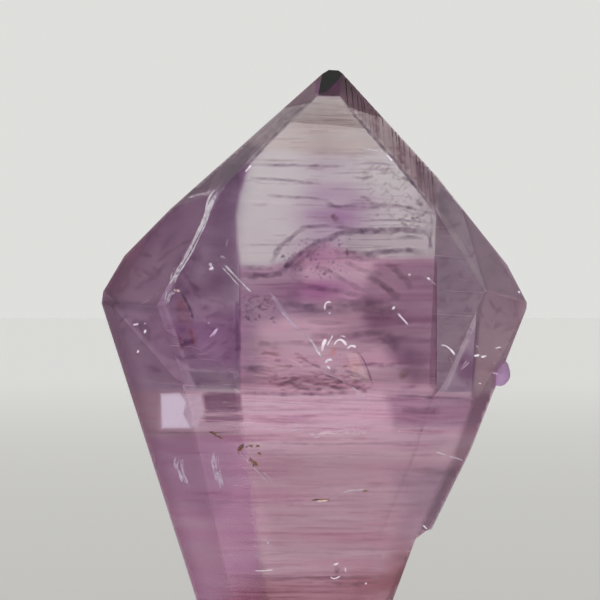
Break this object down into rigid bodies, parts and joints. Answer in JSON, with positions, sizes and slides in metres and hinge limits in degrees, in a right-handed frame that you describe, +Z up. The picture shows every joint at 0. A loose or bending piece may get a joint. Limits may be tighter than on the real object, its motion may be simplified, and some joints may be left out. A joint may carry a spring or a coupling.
{
  "type": "amethyst crystal",
  "caption": "Single clear violet quartz crystal with a steep faceted point, grooved and stepped flanks tapering downward, and a flat cut base to stand on.",
  "frame": {"origin": "bottom centre of the bounding box, on the plane of the flat cut base", "axes": "+Z up towards the crystal's point, -Y out of the broad flat front face, +X to the right seen from the front"},
  "size_m": [0.039, 0.0156, 0.0525],
  "materials": {
    "amethyst": "clear natural crystal faces, polished-bright with fine growth lines"
  },
  "bodies": {
    "root": {"amethyst_crystal": "amethyst"}
  },
  "joints": []
}
